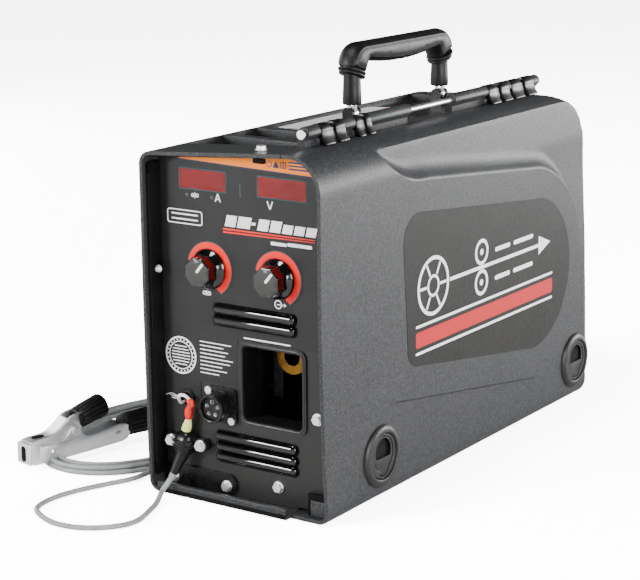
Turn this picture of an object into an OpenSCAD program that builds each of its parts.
// Suitcase wire feeder: a moulded case with a hinged side door, a folding carry
// handle, a recessed control front, a wire drive, a spool on a braked spindle and
// a voltage sense lead with a spring clamp.
// X is the width, Y the depth (the control front looks towards -Y), Z is up.
// The origin is the centre of the flat underside of the case.

/* [Case] */
// Width over both side faces
case_w = 221; // [219:1:225]
// Depth from the front rim to the back face
case_d = 585; // [583:1:600]
// Height of the shell at the hinge line
case_h = 371; // [369:1:380]
// Height of the shell at the left edge
left_h = 360; // [356:1:362]
// Thickness of the moulded walls
wall = 4; // [3.5:0.1:4.2]
// How far the control panel sits behind the front rim
panel_inset = 25; // [24:1:28]
// Depth of the step round the raised field of the door
door_step = 5; // [3:0.5:5]

/* [Hinge and handle] */
// Radius of the hinge rod
rod_r = 3; // [2.6:0.1:3.2]
// Radius of the hinge knuckles
knuckle_r = 7; // [6.5:0.1:7.5]
// Distance between the two handle legs
handle_span = 181; // [175:1:186]
// Height of the grip's top above the handle pivots
handle_rise = 76; // [72:1:80]

/* [Controls] */
// Distance from the centre line to each knob
knob_dx = 42.4; // [40:0.2:44]
// Height of the knobs above the underside
knob_z = 241; // [238:1:244]
// Radius of the knobs
knob_r = 17; // [15:0.5:18]
// Radius of the trigger connector's barrel
connector_r = 15; // [14:0.5:15]

/* [Drive and spool] */
// Distance of the wire line from the centre plane
wire_x = 34; // [33:0.5:35]
// Height of the wire line
wire_z = 152; // [150:1:154]
// Bore radius of the gun bushing
bushing_r = 9.5; // [8:0.5:11]
// Number of teeth on each drive gear
gear_teeth = 20; // [20:1:20]
// Pitch radius of each drive gear
pitch_r = 17.8; // [17.8:0.1:17.8]
// Radius of the spool's flanges
reel_r = 150; // [140:1:150]
// Radius of the wire wound on the spool
winding_r = 136; // [100:1:140]

/* [Sense lead] */
// Radius of the lead
lead_r = 2.8; // [2:0.1:3.2]
// Heading of the clamp on the floor, in degrees from +X
clamp_heading = 78.5; // [70:0.5:80]

/* [Hidden] */
$fn = 48;

eps = 0.05;                       // gap between faces that only touch
run = 0.05;                       // radial clearance of turning fits
side_x = case_w / 2;
front_y = -case_d / 2;
back_y = case_d / 2;
panel_y = front_y + panel_inset;  // front face of the control panel
panel_t = 2;
seam_x = 64.5;                    // parting line between case and door
seam_gap = 1;
case_lean = 2.4;                  // how far the front rim leans back at the bottom
door_lean = 16;
corner_r = 38;                    // big radius along the door's top edge
foot_r = 12;                      // radius along the bottom edges
left_r = 14;                      // radius along the left top edge
back_r = 70;                      // radius of the top rear corner

hinge_x = 62;
hinge_z = case_h + 13;
rod_y = [-253, 228];
// Knuckles of the case and clips of the door, as [start, end] along the rod
knuckles = [[-250, -229], [-186, -167], [-138, -60], [32, 104], [152, 157], [211, 225]];
clips = [[-228.5, -186.5], [-166.5, -138.5], [104.5, 151.5], [157.5, 210.5]];

tray = [[-95, -235], [48, 245]];  // plan corners of the handle tray
tray_floor = 350;
pivot_z = case_h + 6;             // handle pivots
handle_y = 21.5;                  // middle of the handle
leg_r = 9.5;
bar_dx = 3.6;                     // half the distance between the twin bars of a leg
bar_r = 2.2;
grip_half = 14;

latch_y = [-178, 257];
latch_z = 44;
latch_r = 24;

opening = [34, 127.5];            // centre of the gun opening
opening_w = 74;
opening_h = 79;
connector = [-30, 100];
lead_hole = [-75, 99.5];

drive_y = -150;                   // drive and idle roll axles
roll_r = pitch_r - 0.6;
arm_pivot = [-186, 174];
rod_pivot = [-100, 118];
rod_tilt = 20;                    // the tension rod stands swung back
rod_x = 46;

spool = [102, 190];               // spindle axis, as Y and Z
mid_x = -16;                      // left face of the centre panel

clamp_at = [-263, -317];          // where the clamp's jaw tip points at on the floor
clamp_pin = [62, 27];             // clamp pivot along the clamp and up

// ---- helpers ----

function arc(cx, cy, r, a0, a1, n) =
    [for (i = [0 : n]) let (a = a0 + (a1 - a0) * i / n) [cx + r * cos(a), cy + r * sin(a)]];

function bezier(a, b, c, d, n) =
    [for (i = [0 : n]) let (t = i / n, s = 1 - t)
        s * s * s * a + 3 * s * s * t * b + 3 * s * t * t * c + t * t * t * d];

module slab(x, y, z) {
    translate([x[0], y[0], z[0]]) cube([x[1] - x[0], y[1] - y[0], z[1] - z[0]]);
}

// Cylinder along X through the point (y, z)
module rod_along_x(x, y, z, r) {
    translate([x[0], y, z]) rotate([0, 90, 0]) cylinder(h = x[1] - x[0], r = r);
}

// Cylinder along Y through the point (x, z)
module rod_along_y(y, x, z, r) {
    translate([x, y[1], z]) rotate([90, 0, 0]) cylinder(h = y[1] - y[0], r = r);
}

// A shape drawn in the X-Z plane, thickened from y[0] to y[1]
module across_y(y) {
    translate([0, y[1], 0]) rotate([90, 0, 0]) linear_extrude(y[1] - y[0]) children();
}

// A shape drawn in the Y-Z plane, thickened from x[0] to x[1]
module across_x(x) {
    translate([x[0], 0, 0]) rotate([90, 0, 90]) linear_extrude(x[1] - x[0]) children();
}

module rounded(w, h, r) {
    square([w - 2 * r, h], center = true);
    square([w, h - 2 * r], center = true);
    for (i = [-1, 1], j = [-1, 1])
        translate([i * (w / 2 - r), j * (h / 2 - r)]) circle(r);
}

// Hexagon-head screw standing out of a face towards -Y
module hex_screw(x, z, face_y, shank) {
    translate([x, face_y, z]) rotate([90, 0, 0]) {
        cylinder(h = 1, r = 6.3);
        translate([0, 0, 1]) cylinder(h = 3.4, r = 5.2, $fn = 6);
        translate([0, 0, -shank]) cylinder(h = shank, r = 2.4);
    }
}

// ---- case outlines ----

// Cross-section of the case, drawn in X and Z
module section(inset) {
    polygon(concat(
        arc(side_x - corner_r, case_h - corner_r, corner_r - inset, 0, 90, 12),
        arc(-side_x + left_r, left_h - left_r, left_r - inset, 93, 180, 6),
        arc(-side_x + foot_r, foot_r, foot_r - inset, 180, 270, 5),
        arc(side_x - foot_r, foot_r, foot_r - inset, 270, 360, 5)));
}

// Side view of the case, drawn in Y and Z; the front rim leans back at the bottom by lean
module side_view(inset, front_extra, lean) {
    polygon(concat(
        [[front_y + lean - front_extra, inset - 0.01], [front_y + lean / 2 - front_extra, 60],
         [front_y - front_extra, 200], [front_y - front_extra, case_h + 10],
         [back_y - 80, case_h + 10]],
        arc(back_y - 14 - back_r, case_h + 2 - back_r, back_r - inset, 90, 4, 10),
        arc(back_y - foot_r, foot_r, foot_r - inset, 0, -90, 4)));
}

module full_case(lean) {
    intersection() {
        across_y([front_y - 1, back_y + 1]) section(0);
        across_x([-side_x - 1, side_x + 1]) side_view(0, 0, lean);
    }
}

module cavity(inset, lean) {
    intersection() {
        across_y([front_y - 1, back_y + 1]) section(inset);
        across_x([-side_x, side_x]) side_view(wall, 2, lean);
    }
}

// Raised field of the door, drawn in Y and Z: a full-height front, a scooped upper
// edge and a round rear end
module raised_field() {
    rear = [132, 172];
    rear_r = 125;
    polygon(concat(
        [[front_y - 5, -5], [-236, -5]],
        arc(-155, 20, 77, 180, 90, 8),
        arc(rear[0], rear[1], rear_r, -80, 82, 24),
        arc(-95, 444, 123, 270, 219, 10),
        [[-194, case_h + 12], [front_y - 5, case_h + 12]]));
}

// ---- case ----

module knuckle(y) {
    rod_along_y(y, hinge_x, hinge_z, knuckle_r);
    slab([hinge_x - knuckle_r, hinge_x + 1.5], y, [case_h - 6, hinge_z]);
}

module case_shell() {
    color([0.33, 0.34, 0.35]) difference() {
        union() {
            difference() {
                intersection() {
                    full_case(case_lean);
                    slab([-side_x - 1, seam_x - seam_gap / 2], [front_y - 1, back_y + 1],
                         [-1, case_h + 5]);
                }
                cavity(wall, case_lean);
            }
            intersection() {
                full_case(case_lean);
                slab([tray[0][0] - wall, tray[1][0] + wall],
                     [tray[0][1] - wall, tray[1][1] + wall], [tray_floor - wall, case_h + 5]);
            }
            for (k = knuckles) knuckle(k);
        }
        slab([tray[0][0], tray[1][0]], [tray[0][1], tray[1][1]], [tray_floor, case_h + 5]);
        // window in the back wall that shows the recessed rear panel
        slab([-92, 56], [back_y - 26, back_y + 2], [30, 296]);
        rod_along_y([rod_y[0] - 5, rod_y[1] + 5], hinge_x, hinge_z, rod_r + run);
        // seat of the top fixing screw
        translate([28, front_y + 20, case_h - 10]) cylinder(h = 20, r = 2.5);
    }
    // lip inside the bottom of the front rim
    color([0.33, 0.34, 0.35])
        slab([-98, seam_x - 1.5], [front_y + 2.8, front_y + 8], [wall - 0.2, 7.5]);
    // ribs across the tray
    color([0.33, 0.34, 0.35])
        for (y = [-168, -108, 208])
            slab([tray[0][0], tray[1][0]], [y - 6, y + 6], [tray_floor, tray_floor + 11]);
    color([0.33, 0.34, 0.35])
        slab([tray[0][0] + 3, 30], [-95, 10], [tray_floor, tray_floor + 7]);
}

module base_pan() {
    color([0.55, 0.56, 0.58]) {
        slab([-side_x + 6.6, 100.5], [panel_y + 5, back_y - 9], [6.6, 8.6]);
        slab([-side_x + 12, seam_x - 4], [panel_y + 8, back_y - 14], [wall + eps, 6.6]);
        // keepers that the latch pawls turn behind
        for (y = latch_y)
            slab([98, 100.5], [y - 12, y + 12], [8.6 + eps, 16]);
    }
}

module front_panel() {
    hole = [opening_w, opening_h];
    color([0.27, 0.27, 0.26]) difference() {
        union() {
            intersection() {
                across_y([panel_y, panel_y + panel_t]) section(wall + 0.6);
                slab([-side_x, 100], [panel_y - 1, panel_y + 3], [wall + 0.4, case_h]);
            }
            // rolled border and sleeve of the gun opening
            across_y([panel_y - 2, panel_y + 18]) translate(opening)
                rounded(hole[0] + 3, hole[1] + 3, 7);
            across_y([panel_y - 2, panel_y]) translate(opening)
                rounded(hole[0] + 9, hole[1] + 9, 9);
            // flange turned forward along the left wall
            slab([-side_x + wall + 0.6, -side_x + wall + 2.6], [panel_y - 18, panel_y], [30, 335]);
            for (z = [201.5, 190, 67, 55.5, 45]) louvre_hood(z);
        }
        slab([seam_x - 2, 101], [panel_y - 1, panel_y + 3], [0, 7]);
        across_y([panel_y - 3, panel_y + 19]) translate(opening) rounded(hole[0], hole[1], 6);
        for (x = [-knob_dx, knob_dx])
            rod_along_y([panel_y - 1, panel_y + 3], x, knob_z, 4.7);
        rod_along_y([panel_y - 1, panel_y + 3], connector[0], connector[1], 13);
        rod_along_y([panel_y - 1, panel_y + 3], lead_hole[0], lead_hole[1], 8);
        for (x = [-49, 48.5])
            slab([x - 29.1, x + 29.1], [panel_y - 1, panel_y + 3], [321.4, 341.6]);
        for (z = [201.5, 190, 67, 55.5, 45]) louvre_slot(z);
        for (p = screw_holes())
            rod_along_y([panel_y - 1, panel_y + 3], p[0], p[1], 2.5);
        rod_along_x([-side_x, -side_x + 8], panel_y - 10, 236, 2.5);
    }
}

function screw_holes() = [
    [39.6, 23.9], [88.3, 103.5], [-92.7, 12.4], [-23.7, 14], [-91, 54], [-53, 54],
    [connector[0] - 14.5, connector[1] + 14.5], [connector[0] + 14.5, connector[1] - 14.5]];

louvre_mid = 13;
louvre_half = 43.5;
louvre_r = 5.5;

module louvre_hood(z) {
    outer = louvre_half + 4;
    intersection() {
        rod_along_x([louvre_mid - outer, louvre_mid + outer], panel_y, z, louvre_r);
        slab([-60, 80], [panel_y - 10, panel_y + 1], [z - 8, z + 8]);
    }
}

// Hollow of a louvre, open downwards and through the panel
module louvre_slot(z) {
    inner = louvre_r - 1.3;
    rod_along_x([louvre_mid - louvre_half, louvre_mid + louvre_half], panel_y, z, inner);
    slab([louvre_mid - louvre_half, louvre_mid + louvre_half],
         [panel_y - louvre_r + 1.3, panel_y + 3], [z - louvre_r + 0.4, z]);
}

module front_overlay() {
    y = [panel_y - 0.6, panel_y - eps];
    color([0.22, 0.22, 0.22]) difference() {
        intersection() {
            across_y(y) section(wall + 2.2);
            union() {
                slab([-103.8, 99], y, [172.5, case_h]);
                slab([-103.8, -8.5], y, [122, 172.6]);
                slab([-103.8, -57], y, [72, 122.1]);
            }
        }
        slab([-38, 65], [panel_y - 1, panel_y], [182, 208.5]);
        for (x = [-49, 48.5])
            slab([x - 29.1, x + 29.1], [panel_y - 1, panel_y + 1], [321.4, 341.6]);
        for (x = [-knob_dx, knob_dx])
            rod_along_y([panel_y - 1, panel_y], x, knob_z, 7);
        rod_along_y([panel_y - 1, panel_y], lead_hole[0], lead_hole[1], 9);
    }
}

module meter_window(x) {
    color([0.7, 0.2, 0.2])
        slab([x - 29, x + 29], [panel_y - 1, panel_y + panel_t], [321.5, 341.5]);
}

module ammeter_window() {
    meter_window(-49);
}

module voltmeter_window() {
    meter_window(48.5);
}

module potentiometers() {
    color([0.6, 0.6, 0.6])
        for (x = [-knob_dx, knob_dx]) {
            rod_along_y([panel_y + panel_t + eps, panel_y + 16], x, knob_z, 9);
            rod_along_y([panel_y - 4.5, panel_y + panel_t + 1], x, knob_z, 4.5);
            rod_along_y([panel_y - 3, panel_y - 0.7], x, knob_z, 6.5);
            rod_along_y([panel_y - 20, panel_y], x, knob_z, 3);
        }
}

module trigger_connector() {
    color([0.12, 0.12, 0.12]) difference() {
        union() {
            across_y([panel_y - 3, panel_y - eps]) translate(connector) rounded(38, 38, 4);
            rod_along_y([panel_y - 20.5, panel_y - 3], connector[0], connector[1], connector_r);
            rod_along_y([panel_y - eps, panel_y + 12], connector[0], connector[1], 12.5);
        }
        rod_along_y([panel_y - 21, panel_y - 17], connector[0], connector[1], 12.4);
        for (i = [0 : 4]) let (a = 90 + 72 * i)
            rod_along_y([panel_y - 18, panel_y - 9], connector[0] + 7 * cos(a),
                        connector[1] + 7 * sin(a), 1.5);
        for (s = [-1, 1])
            rod_along_y([panel_y - 4, panel_y], connector[0] - s * 14.5,
                        connector[1] + s * 14.5, 2.5);
    }
}

module panel_screws() {
    color([0.85, 0.86, 0.87]) {
        hex_screw(39.6, 23.9, panel_y - eps, 8);
        hex_screw(88.3, 103.5, panel_y - eps, 8);
        hex_screw(-92.7, 12.4, panel_y - 3.1, 11);
        hex_screw(-23.7, 14, panel_y - 3.1, 11);
        hex_screw(-91, 54, panel_y - 9.1, 17);
        hex_screw(-53, 54, panel_y - 9.1, 17);
        for (s = [-1, 1])
            translate([connector[0] - s * 14.5, panel_y - 3 - eps, connector[1] + s * 14.5])
                rotate([90, 0, 0]) {
                    cylinder(h = 2.6, r = 4);
                    translate([0, 0, -8]) cylinder(h = 8, r = 2.4);
                }
        // screw of the turned flange and screw on the top face
        rod_along_x([-side_x + wall + 2.7, -side_x + wall + 5], panel_y - 10, 236, 3.6);
        rod_along_x([-side_x + wall + 0.1, -side_x + wall + 3], panel_y - 10, 236, 2.4);
        translate([28, front_y + 20, case_h - 8]) {
            cylinder(h = 6, r = 2.4);
            translate([0, 0, 6]) cylinder(h = 1, r = 6.3);
            translate([0, 0, 7]) cylinder(h = 3.4, r = 5.2, $fn = 6);
        }
    }
}

module access_cover() {
    color([0.2, 0.2, 0.2]) difference() {
        union() {
            slab([-101.5, -23], [panel_y - 3, panel_y - eps], [5, 27]);
            rod_along_y([panel_y - 3, panel_y - eps], -23, 16, 11);
        }
        for (p = [[-92.7, 12.4], [-23.7, 14]])
            rod_along_y([panel_y - 4, panel_y], p[0], p[1], 2.5);
    }
}

module strain_relief() {
    boot_top = [-74, panel_y - 10, 46];
    color([0.1, 0.1, 0.1]) difference() {
        union() {
            slab([-98, -46], [panel_y - 9, panel_y - eps], [47, 61]);
            rod_along_z([43, 65], -72, panel_y - 9, 9);
            translate(boot_top) rotate([165, 22, 0]) cylinder(h = 34, r1 = 8.5, r2 = 4.6);
        }
        for (x = [-91, -53])
            rod_along_y([panel_y - 10, panel_y], x, 54, 2.5);
        slab([-110, -40], [panel_y - eps, panel_y + 5], [0, 80]);
    }
}

// Cylinder along Z through the point (x, y)
module rod_along_z(z, x, y, r) {
    translate([x, y, z[0]]) cylinder(h = z[1] - z[0], r = r);
}

module sense_wire() {
    loop_r = 6.5;
    color([0.92, 0.92, 0.92]) {
        translate([lead_hole[0] + loop_r, panel_y - 5, lead_hole[1]]) rotate([90, 0, 0])
            rotate_extrude(angle = 180) translate([loop_r, 0]) circle(1.7);
        rod_along_y([panel_y - 5, panel_y + 6], lead_hole[0], lead_hole[1], 1.7);
    }
}

module splice_sleeves() {
    x = lead_hole[0] + 13;
    color([0.85, 0.3, 0.22]) rod_along_z([82, 99.4], x, panel_y - 5, 3.6);
    color([0.75, 0.82, 0.5]) translate([x, panel_y - 5, 81.9]) rotate([180, -22, 0])
        cylinder(h = 13, r = 4.3);
}

// ---- sense lead and clamp on the floor ----

coil_mid = [-224, -150];
coil_half = [90, 140];

// Band of constant width along a list of points, drawn in X and Y
module ribbon(path, width) {
    n = len(path) - 1;
    for (i = [0 : n - 1]) let (a = path[i], b = path[i + 1], d = (b - a) / norm(b - a),
                               q = [-d[1], d[0]] * width / 2)
        polygon([a - q, b - q, b + q, a + q]);
    for (i = [0 : n]) translate(path[i]) circle(width / 2, $fn = 12);
}

module sense_lead() {
    start = [-80, panel_y - 43];
    nose = concat(
        bezier(start, [-30, -400], [-75, -432], [-125, -434], 6),
        [for (i = [1 : 7]) bezier([-125, -434], [-190, -434], [-170, -330], [-156, -272], 7)[i]]);
    color([0.6, 0.61, 0.62]) {
        translate([0, 0, 0.1]) linear_extrude(2 * lead_r) ribbon(nose, 2 * lead_r);
        translate([0, 0, 0.1]) linear_extrude(2 * lead_r) difference() {
            coil_outline(9);
            coil_outline(-9);
        }
        // from the boot down to the floor
        translate([start[0], start[1], lead_r + 0.1]) sphere(lead_r);
        drop(start, [-87.3, panel_y - 19.5, 13]);
    }
}

module coil_outline(grow) {
    polygon([for (i = [0 : 35]) let (a = i * 10)
        coil_mid + [(coil_half[0] + grow) * cos(a), (coil_half[1] + grow) * sin(a)]]);
}

module drop(foot, top) {
    a = [foot[0], foot[1], lead_r + 0.1];
    d = top - a;
    translate(a) rotate([0, acos(d[2] / norm(d)), atan2(d[1], d[0])])
        cylinder(h = norm(d), r = lead_r);
}

module on_clamp() {
    translate([clamp_at[0], clamp_at[1], 2 * lead_r + 0.4]) rotate([0, 0, clamp_heading]) children();
}

// A profile drawn along the clamp and up, thickened across it
module clamp_plate(across) {
    translate([0, across[1], 0]) rotate([90, 0, 0]) linear_extrude(across[1] - across[0])
        children();
}

module lower_profile() {
    polygon([[0, 6], [5, 0], [112, 2], [136, 8], [136, 22], [112, 23], [74, 24], [66, 34],
             [58, 34], [50, 24], [22, 19], [0, 19]]);
}

module upper_profile() {
    polygon([[0, 20], [0, 33], [24, 35], [44, 33], [56, 37], [66, 42], [82, 50], [88, 41],
             [74, 33], [68, 22], [56, 21], [44, 26], [22, 25], [4, 20]]);
}

module clamp_lower_jaw() {
    color([0.75, 0.76, 0.78]) on_clamp() difference() {
        union() {
            for (s = [-1, 1]) translate([0, s * 10.8, 0]) clamp_plate([-1.2, 1.2]) lower_profile();
            clamp_plate([-10, 10]) polygon([[0, 6], [5, 0], [112, 2], [112, 4.4], [6, 2.4],
                                            [2.4, 7], [2.4, 19], [0, 19]]);
        }
        translate([clamp_pin[0], 15, clamp_pin[1]]) rotate([90, 0, 0]) cylinder(h = 30, r = 3.05);
    }
}

module clamp_upper_jaw() {
    color([0.78, 0.79, 0.8]) on_clamp() difference() {
        union() {
            for (s = [-1, 1]) translate([0, s * 8.2, 0]) clamp_plate([-1.1, 1.1]) upper_profile();
            clamp_plate([-7.2, 7.2]) polygon([[0, 20], [0, 33], [24, 35], [44, 33], [56, 37],
                [66, 42], [66, 39.5], [56, 34.6], [44, 30.6], [24, 32.6], [2.4, 30.6], [2.4, 20]]);
        }
        translate([clamp_pin[0], 15, clamp_pin[1]]) rotate([90, 0, 0]) cylinder(h = 30, r = 3.06);
        translate([34, 0, 28]) cylinder(h = 12, r = 6);
    }
}

module clamp_pivot() {
    color([0.7, 0.71, 0.72]) on_clamp() {
        translate([clamp_pin[0], 13.5, clamp_pin[1]]) rotate([90, 0, 0]) cylinder(h = 27, r = 3);
        for (s = [-1, 1])
            translate([clamp_pin[0], s * 12.8 + 0.75, clamp_pin[1]]) rotate([90, 0, 0])
                cylinder(h = 1.5, r = 5);
    }
}

module clamp_spring() {
    color([0.5, 0.5, 0.52]) on_clamp()
        translate([clamp_pin[0], 6.5, clamp_pin[1]]) rotate([90, 0, 0]) difference() {
            cylinder(h = 13, r = 5.4);
            translate([0, 0, -1]) cylinder(h = 15, r = 3.2);
        }
}

module clamp_lower_grip() {
    color([0.1, 0.1, 0.1]) on_clamp()
        translate([136.5, 0, 15]) rotate([0, 88, 0]) cylinder(h = 42, r = 13.4);
}

module clamp_upper_grip() {
    color([0.1, 0.1, 0.1]) on_clamp()
        translate([86, 0, 46]) rotate([0, 64, 0]) difference() {
            cylinder(h = 44, r = 12.5);
            translate([0, 0, -9]) cube([30, 19, 20], center = true);
        }
}

// ---- fixed parts inside ----

module rear_panel() {
    y = [back_y - 30, back_y - 28];
    color([0.3, 0.3, 0.3]) difference() {
        slab([-100, 62], y, [20, 306]);
        rod_along_y([y[0] - 1, y[1] + 1], -55, 60, 7);
        rod_along_y([y[0] - 1, y[1] + 1], 20, 80, 9);
    }
}

module centre_panel() {
    color([0.5, 0.51, 0.52]) difference() {
        slab([mid_x, mid_x + 2], [panel_y + 6, back_y - 34], [8.6, 344]);
        rod_along_x([mid_x - 1, mid_x + 3], drive_y, wire_z - pitch_r, 12);
        rod_along_x([mid_x - 1, mid_x + 3], spool[0], spool[1], 6.1);
    }
}

module hinge_rod() {
    color([0.8, 0.81, 0.82]) {
        rod_along_y(rod_y, hinge_x, hinge_z, rod_r);
        rod_along_y([rod_y[0] - 1.5, rod_y[0]], hinge_x, hinge_z, rod_r + 1.6);
    }
}

module top_plate() {
    color([0.09, 0.09, 0.1]) slab([-30, tray[1][0] - eps], [15, 150],
                                  [tray_floor + eps, tray_floor + 15]);
}

module handle_brackets() {
    color([0.1, 0.1, 0.1])
        for (s = [-1, 1]) let (y = handle_y + s * handle_span / 2,
                               z0 = tray_floor + eps + (s > 0 ? 15 : 7)) {
            slab([-9, 9], [y - 9, y + 9], [z0, z0 + 3]);
            for (t = [-1, 1]) {
                slab([-7, 7], [y + t * 6.5 - 2, y + t * 6.5 + 2], [z0, pivot_z]);
                rod_along_y([y + t * 6.5 - 2, y + t * 6.5 + 2], 0, pivot_z, 7);
            }
            rod_along_y([y - 8.5, y + 8.5], 0, pivot_z, 3);
        }
}

module drive_housing() {
    color([0.62, 0.63, 0.64]) difference() {
        union() {
            slab([4, 15], [-224, -84], [104, 200]);
            for (y = [-214, -94], z = [112, 192])
                rod_along_x([mid_x + 2 + eps, 5], y, z, 6);
            // block that holds the gun bushing
            slab([14, 52], [-226, -201], [wire_z - 18, wire_z + 18]);
            rod_along_x([14, 41.9], arm_pivot[0], arm_pivot[1], 7);
            rod_along_x([41, 50.5], arm_pivot[0], arm_pivot[1], 4);
            rod_along_x([14, 42], rod_pivot[0], rod_pivot[1], 6);
            rod_along_x([41, 50.5], rod_pivot[0], rod_pivot[1], 4);
            slab([14, wire_x + 8], [-96, -84], [wire_z - 8, wire_z + 8]);
        }
        rod_along_x([-20, 16], drive_y, wire_z - pitch_r, 6 + run);
        rod_along_y([-227, -200], wire_x, wire_z, 16.05);
        rod_along_y([-97, -83], wire_x, wire_z, 5.05);
        rod_along_x([wire_x + 15, 53], -213, wire_z, 4);
    }
}

module gun_bushing() {
    color([0.72, 0.55, 0.25]) difference() {
        union() {
            rod_along_y([-234, -203], wire_x, wire_z, 16);
            rod_along_y([-234, -228], wire_x, wire_z, 18.5);
        }
        rod_along_y([-235, -202], wire_x, wire_z, bushing_r);
    }
}

module gun_thumb_screw() {
    color([0.15, 0.15, 0.15]) difference() {
        union() {
            rod_along_x([wire_x + 16.3, 56], -213, wire_z, 3.95);
            rod_along_x([54, 66], -213, wire_z, 9);
        }
        for (a = [0 : 60 : 300])
            rod_along_x([53, 67], -213 + 11 * cos(a), wire_z + 11 * sin(a), 3.2);
    }
}

module drive_motor() {
    color([0.2, 0.2, 0.21]) {
        slab([-46, mid_x - eps], [drive_y - 35, drive_y + 35], [100, 170]);
        rod_along_x([-103, -45], drive_y, wire_z - pitch_r, 27);
    }
}

module inlet_guide() {
    color([0.75, 0.6, 0.3]) difference() {
        union() {
            rod_along_y([-100, -72], wire_x, wire_z, 5);
            rod_along_y([-84, -80], wire_x, wire_z, 8);
        }
        rod_along_y([-101, -71], wire_x, wire_z, 1.6);
    }
}

module spindle() {
    color([0.6, 0.6, 0.62]) {
        rod_along_x([mid_x - 6, 92], spool[0], spool[1], 6);
        rod_along_x([mid_x + 2 + eps, mid_x + 5], spool[0], spool[1], 25);
        rod_along_x([mid_x - 6, mid_x - eps], spool[0], spool[1], 12);
    }
}

module control_board() {
    color([0.1, 0.35, 0.2]) slab([-62, -60.4], [-235, -75], [205, 330]);
    color([0.15, 0.15, 0.15]) {
        for (p = [[-210, 230], [-160, 300], [-110, 240]])
            slab([-75, -62], [p[0], p[0] + 26], [p[1], p[1] + 18]);
        for (p = [[-150, 250], [-120, 285]])
            rod_along_x([-88, -62], p[0], p[1], 9);
    }
    color([0.7, 0.7, 0.7])
        for (y = [-228, -82], z = [212, 323])
            rod_along_x([-60.4, mid_x - eps], y, z, 3);
}

module contactor() {
    color([0.15, 0.15, 0.16]) slab([-100, -66], [130, 190], [8.65, 80]);
    color([0.75, 0.55, 0.3]) for (y = [142, 178]) rod_along_z([80, 92], -83, y, 5);
}

module gas_valve() {
    color([0.7, 0.6, 0.3]) slab([-68, -42], [20, 60], [46, 74]);
    color([0.12, 0.12, 0.12]) slab([-68, -42], [26, 54], [74, 108]);
    color([0.5, 0.5, 0.5]) slab([-62, -48], [24, 56], [8.65, 46]);
}

module gas_hose() {
    color([0.1, 0.1, 0.1]) rod_along_y([60 + eps, back_y - 40 - eps], -55, 60, 5);
}

module gas_inlet() {
    color([0.75, 0.6, 0.3]) difference() {
        union() {
            rod_along_y([back_y - 40, back_y - 26], -55, 60, 6.9);
            translate([-55, back_y - 27.9, 60]) rotate([-90, 0, 0]) cylinder(h = 7, r = 11, $fn = 6);
            rod_along_y([back_y - 21, back_y - 2], -55, 60, 7.9);
        }
        rod_along_y([back_y - 41, back_y], -55, 60, 3);
    }
}

module input_stud() {
    color([0.75, 0.6, 0.3]) {
        rod_along_y([back_y - 48, back_y - 22], 20, 80, 8.9);
        rod_along_y([back_y - 27.9, back_y - 23], 20, 80, 15);
        rod_along_y([back_y - 23, back_y - 2], 20, 80, 6.3);
    }
}

switch_y = [-212, -182, -152];
switch_z = 300;

module switch_plate() {
    x0 = mid_x + 2 + eps;
    color([0.65, 0.66, 0.67]) difference() {
        union() {
            slab([x0, x0 + 2], [-232, -132], [270, 335]);
            rod_along_x([x0 + 2, x0 + 10], switch_y[0], switch_z, 6.5);
            rod_along_x([x0 + 2, x0 + 10], switch_y[1], switch_z, 9);
            rod_along_x([x0 + 2, x0 + 8], switch_y[2], switch_z, 9);
        }
        rod_along_x([x0 + 2, x0 + 11], switch_y[0], switch_z, 4.6);
        rod_along_x([x0 + 2, x0 + 11], switch_y[1], switch_z, 6 + run);
    }
}

module mode_toggle() {
    x0 = mid_x + 9;
    color([0.85, 0.85, 0.86]) translate([x0, switch_y[0], switch_z]) rotate([0, 90 - 12, 0]) {
        sphere(3.6);
        cylinder(h = 16, r = 1.8);
        translate([0, 0, 16]) sphere(2.6);
    }
}

module purge_button() {
    x0 = mid_x + 2 + eps;
    color([0.8, 0.15, 0.12]) rod_along_x([x0 + 6.5, x0 + 13], switch_y[1], switch_z, 6);
}

// ---- door ----

module side_door() {
    color([0.35, 0.36, 0.37]) difference() {
        intersection() {
            full_case(door_lean);
            slab([seam_x + seam_gap / 2, side_x + 1], [front_y - 1, back_y + 1],
                 [-1, case_h + 5]);
        }
        // the inside is deeper behind the raised field
        intersection() {
            cavity(wall, door_lean);
            union() {
                slab([0, side_x], [front_y - 1, -242], [0, case_h]);
                slab([0, side_x - wall - door_step], [-243, back_y], [0, case_h]);
                slab([0, side_x], [-243, 120], [110, 285]);
            }
        }
        across_x([side_x - door_step, side_x + 2]) difference() {
            translate([front_y - 5, -5]) square([case_d + 20, case_h + 20]);
            raised_field();
        }
        for (y = latch_y)
            rod_along_x([80, side_x + 2], y, latch_z, latch_r + 2.1);
    }
    // corner tab that closes over the bottom of the front
    color([0.35, 0.36, 0.37]) slab([82, 104], [panel_y - 8.5, panel_y - 2.5], [3.9, 21]);
}

module hinge_clips() {
    color([0.06, 0.06, 0.06])
        for (c = clips) difference() {
            union() {
                rod_along_y(c, hinge_x, hinge_z, knuckle_r - 0.4);
                across_y(c) polygon([[hinge_x, hinge_z - 6.4], [hinge_x + 6.4, hinge_z],
                    [hinge_x + 14, hinge_z - 7], [hinge_x + 17, case_h + eps],
                    [seam_x + 1, case_h + eps], [seam_x + 0.6, hinge_z - 6.4]]);
            }
            rod_along_y([c[0] - 1, c[1] + 1], hinge_x, hinge_z, rod_r + run);
            slab([hinge_x + 6.6, hinge_x + 30],
                 [(c[0] + c[1]) / 2 - 5, (c[0] + c[1]) / 2 + 5], [hinge_z - 6, hinge_z + 9]);
        }
}

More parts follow.
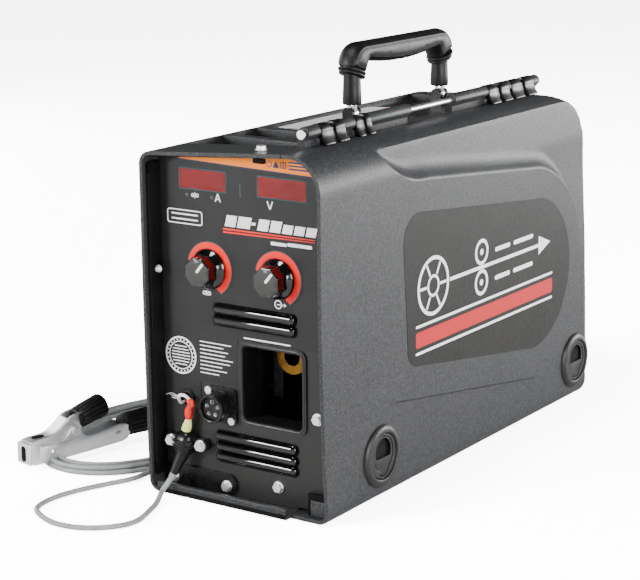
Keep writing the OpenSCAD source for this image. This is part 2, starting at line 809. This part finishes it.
module latch_rings() {
    x0 = side_x - door_step;
    color([0.16, 0.16, 0.17])
        for (y = latch_y) difference() {
            union() {
                rod_along_x([x0 + eps, x0 + 5], y, latch_z, 33);
                rod_along_x([x0 - wall, x0 + 1], y, latch_z, latch_r + 2);
            }
            rod_along_x([x0 - wall - 1, x0 + 6], y, latch_z, latch_r + run);
        }
}

// Turning latch: a disc with a keyhole-shaped finger recess and a pawl behind it
module latch(y) {
    x0 = side_x - door_step;
    color([0.12, 0.12, 0.13]) {
        difference() {
            rod_along_x([x0 - 4, x0 + 3.4], y, latch_z, latch_r);
            rod_along_x([x0 + 0.4, x0 + 4], y, latch_z + 3, 17);
            slab([x0 + 0.4, x0 + 4], [y - 9, y + 9], [latch_z - 21, latch_z]);
            intersection() {
                rod_along_x([x0 - 3, x0 + 4], y, latch_z + 3, 14.5);
                slab([x0 - 3, x0 + 4], [y - 20, y + 20], [latch_z - 3, latch_z + 20]);
            }
        }
        rod_along_x([x0 - 12.5, x0 - 4], y, latch_z, 8);
        slab([x0 - 12.5, x0 - 8.6], [y - 34, y], [latch_z - 6, latch_z + 6]);
    }
}

module front_latch() {
    latch(latch_y[0]);
}

module rear_latch() {
    latch(latch_y[1]);
}

// ---- handle ----

module grip_profile() {
    a = handle_y - handle_span / 2;
    b = handle_y + handle_span / 2;
    top = pivot_z + handle_rise;
    low = pivot_z + 44;
    r = 18.5;
    polygon(concat(
        [[a - 13.5, low], [a - 14, top - r]],
        arc(a - 14 + r, top - r, r, 180, 90, 6),
        arc(b + 14 - r, top - r, r, 90, 0, 6),
        [[b + 13.5, low], [b - 12, low], [b - 14, low + 7]],
        [for (i = [0 : 8]) [b - 22 - (handle_span - 44) * i / 8, low + 11 - 6 * sin(22.5 * i)]],
        [[a + 14, low + 7], [a + 12, low]]));
}

module handle_grip() {
    color([0.1, 0.1, 0.1]) difference() {
        union() {
            across_x([-grip_half, grip_half]) grip_profile();
            for (s = [-1, 1])
                rod_along_z([pivot_z + 42, pivot_z + 50], 0, handle_y + s * handle_span / 2, 14.5);
        }
        for (s = [-1, 1])
            rod_along_z([pivot_z + 40, pivot_z + 66], 0, handle_y + s * handle_span / 2, 6.4);
        slab([-2, 2], [handle_y - handle_span / 2, handle_y + handle_span / 2],
             [pivot_z + 59, pivot_z + 65]);
    }
}

module handle_sleeves() {
    color([0.1, 0.1, 0.1])
        for (s = [-1, 1]) let (y = handle_y + s * handle_span / 2) difference() {
            rod_along_z([pivot_z + 10, pivot_z + 42 - eps], 0, y, leg_r);
            rod_along_z([pivot_z + 9, pivot_z + 43], 0, y, 6.4);
        }
}

module handle_rods() {
    color([0.85, 0.86, 0.88])
        for (s = [-1, 1]) let (y = handle_y + s * handle_span / 2) {
            difference() {
                rod_along_y([y - 4.4, y + 4.4], 0, pivot_z, 6.2);
                rod_along_y([y - 5, y + 5], 0, pivot_z, 3 + run);
            }
            for (t = [-1, 1])
                rod_along_z([pivot_z + 4.6, pivot_z + 64], t * bar_dx, y, bar_r);
        }
    color([0.85, 0.86, 0.88])
        rod_along_y([handle_y - handle_span / 2, handle_y + handle_span / 2], 0, pivot_z + 62, 1.5);
}

// ---- knobs ----

module knob(x) {
    color([0.06, 0.06, 0.06]) difference() {
        rod_along_y([panel_y - 22, panel_y - 2], x, knob_z, knob_r);
        rod_along_y([panel_y - 20.5, panel_y], x, knob_z, 3 + run);
        rod_along_y([panel_y - 6, panel_y], x, knob_z, 8);
        for (a = [30 : 60 : 330])
            rod_along_y([panel_y - 23, panel_y - 5], x + (knob_r + 5) * cos(a),
                        knob_z + (knob_r + 5) * sin(a), 7.2);
    }
}

module left_knob() {
    knob(-knob_dx);
}

module right_knob() {
    knob(knob_dx);
}

// ---- spool ----

reel_x = [-7, 93];

module spool_reel() {
    color([0.13, 0.13, 0.14]) difference() {
        union() {
            rod_along_x([reel_x[0], reel_x[0] + 3], spool[0], spool[1], reel_r);
            rod_along_x([reel_x[1] - 3, reel_x[1]], spool[0], spool[1], reel_r);
            rod_along_x(reel_x, spool[0], spool[1], 60);
        }
        rod_along_x([reel_x[0] - 1, reel_x[1] + 1], spool[0], spool[1], 25.5);
        for (a = [0 : 60 : 300])
            rod_along_x([reel_x[0] - 1, reel_x[1] + 1], spool[0] + 42 * cos(a),
                        spool[1] + 42 * sin(a), 12);
        for (a = [30 : 60 : 330])
            rod_along_x([reel_x[0] - 1, reel_x[1] + 1], spool[0] + 142 * cos(a),
                        spool[1] + 142 * sin(a), 3);
    }
}

module wire_winding() {
    color([0.75, 0.5, 0.35]) difference() {
        rod_along_x([reel_x[0] + 3 + eps, reel_x[1] - 3 - eps], spool[0], spool[1], winding_r);
        rod_along_x([reel_x[0], reel_x[1]], spool[0], spool[1], 60 + eps);
    }
}

module spool_hub() {
    color([0.2, 0.2, 0.22]) difference() {
        union() {
            rod_along_x([mid_x + 5.5, reel_x[0] - 1], spool[0], spool[1], 38);
            rod_along_x([mid_x + 5.5, reel_x[1] + 1], spool[0], spool[1], 25.4);
            slab([reel_x[1] + 0.5, reel_x[1] + 6.5], [spool[0] - 34, spool[0] + 34],
                 [spool[1] - 7, spool[1] + 7]);
        }
        rod_along_x([mid_x, 92.5], spool[0], spool[1], 6 + run);
        rod_along_x([30, reel_x[1] - 3], spool[0], spool[1], 20);
        rod_along_x([93, 101], spool[0], spool[1], 5);
    }
    color([0.2, 0.2, 0.22]) difference() {
        rod_along_x([28, reel_x[1] - 2], spool[0], spool[1], 9);
        rod_along_x([27, 92.5], spool[0], spool[1], 6 + run);
    }
}

// ---- wire drive ----

// Spur gear outline: straight-flanked teeth with backlash
module gear_outline(teeth, phase) {
    step = 360 / teeth;
    root = pitch_r - 2.2;
    tip = pitch_r + 1.6;
    polygon([for (i = [0 : teeth - 1]) let (a = phase + i * step)
        each [[root * cos(a - 0.31 * step), root * sin(a - 0.31 * step)],
              [tip * cos(a - 0.1 * step), tip * sin(a - 0.1 * step)],
              [tip * cos(a + 0.1 * step), tip * sin(a + 0.1 * step)],
              [root * cos(a + 0.31 * step), root * sin(a + 0.31 * step)]]]);
}

gear_x = [17, 24];
roll_x = [wire_x - 5.5, wire_x + 5.5];

module gear(z, phase) {
    translate([0, drive_y, z]) across_x(gear_x) gear_outline(gear_teeth, phase);
}

module grooved_roll(z, bore) {
    difference() {
        union() {
            rod_along_x([roll_x[0], wire_x - 1], drive_y, z, roll_r);
            rod_along_x([wire_x - 1, wire_x + 1], drive_y, z, roll_r - 0.5);
            rod_along_x([wire_x + 1, roll_x[1]], drive_y, z, roll_r);
        }
        rod_along_x([roll_x[0] - 1, roll_x[1] + 1], drive_y, z, bore);
    }
}

module drive_gear() {
    z = wire_z - pitch_r;
    color([0.55, 0.55, 0.56]) {
        gear(z, 90);
        rod_along_x([mid_x + 3, roll_x[1] + 1], drive_y, z, 6);
    }
}

module drive_roll() {
    z = wire_z - pitch_r;
    color([0.7, 0.7, 0.72]) {
        grooved_roll(z, 6 + run);
        difference() {
            rod_along_x([roll_x[1] + 1, roll_x[1] + 5], drive_y, z, 10);
            rod_along_x([roll_x[1], roll_x[1] + 1.1], drive_y, z, 6 + run);
        }
        difference() {
            rod_along_x([roll_x[1], roll_x[1] + 1.1], drive_y, z, 10);
            rod_along_x([roll_x[1] - 1, roll_x[1] + 2], drive_y, z, 6 + run);
        }
    }
}

module idle_gear() {
    z = wire_z + pitch_r;
    color([0.55, 0.55, 0.56]) difference() {
        union() {
            gear(z, 270 + 180 / gear_teeth);
            rod_along_x([gear_x[1], roll_x[0] - eps], drive_y, z, 9);
        }
        rod_along_x([gear_x[0] - 1, roll_x[0] + 1], drive_y, z, 5 + run);
    }
}

module idle_roll() {
    color([0.7, 0.7, 0.72]) grooved_roll(wire_z + pitch_r, 5 + run);
}

module pressure_arm() {
    z = wire_z + pitch_r;
    color([0.6, 0.61, 0.62]) difference() {
        union() {
            rod_along_x([42.2, 50], arm_pivot[0], arm_pivot[1], 10);
            slab([42.2, 50], [arm_pivot[0], -113], [arm_pivot[1] - 9, arm_pivot[1] + 8]);
            rod_along_x([42.2, 50], drive_y, z, 11);
            rod_along_x([gear_x[0] - 0.5, 43], drive_y, z, 5);
            slab([38, 54], [-116, -90], [arm_pivot[1] - 8, arm_pivot[1] + 4]);
        }
        rod_along_x([41, 51], arm_pivot[0], arm_pivot[1], 4 + run);
        slab([rod_x - 3.6, rod_x + 3.6], [-104, -89], [arm_pivot[1] - 9, arm_pivot[1] + 9]);
    }
}

module swung_back() {
    translate([rod_x, rod_pivot[0], rod_pivot[1]]) rotate([-rod_tilt, 0, 0]) children();
}

module tension_rod() {
    color([0.75, 0.76, 0.77]) swung_back() {
        difference() {
            translate([-3.7, 0, 0]) rotate([0, 90, 0]) cylinder(h = 7.4, r = 7);
            translate([-4.5, 0, 0]) rotate([0, 90, 0]) cylinder(h = 9, r = 4 + run);
        }
        translate([0, 0, 6]) cylinder(h = 78, r = 3);
    }
}

module tension_knob() {
    color([0.15, 0.15, 0.15]) swung_back() difference() {
        translate([0, 0, 62.5]) cylinder(h = 26, r = 12);
        translate([0, 0, 62]) cylinder(h = 23, r = 3 + run);
        for (a = [0 : 60 : 300])
            translate([15 * cos(a), 15 * sin(a), 70]) cylinder(h = 20, r = 5);
    }
}

case_shell();
base_pan();
front_panel();
front_overlay();
rear_panel();
centre_panel();
hinge_rod();
top_plate();
handle_brackets();
ammeter_window();
voltmeter_window();
potentiometers();
trigger_connector();
panel_screws();
access_cover();
strain_relief();
sense_wire();
splice_sleeves();
sense_lead();
clamp_lower_jaw();
clamp_lower_grip();
clamp_pivot();
clamp_spring();
gun_bushing();
drive_housing();
drive_motor();
inlet_guide();
spindle();
control_board();
contactor();
gas_valve();
gas_hose();
gas_inlet();
input_stud();
switch_plate();
side_door();
hinge_clips();
latch_rings();
front_latch();
rear_latch();
handle_grip();
handle_sleeves();
handle_rods();
left_knob();
right_knob();
spool_reel();
wire_winding();
spool_hub();
drive_gear();
drive_roll();
idle_gear();
idle_roll();
pressure_arm();
tension_rod();
tension_knob();
gun_thumb_screw();
clamp_upper_jaw();
clamp_upper_grip();
purge_button();
mode_toggle();
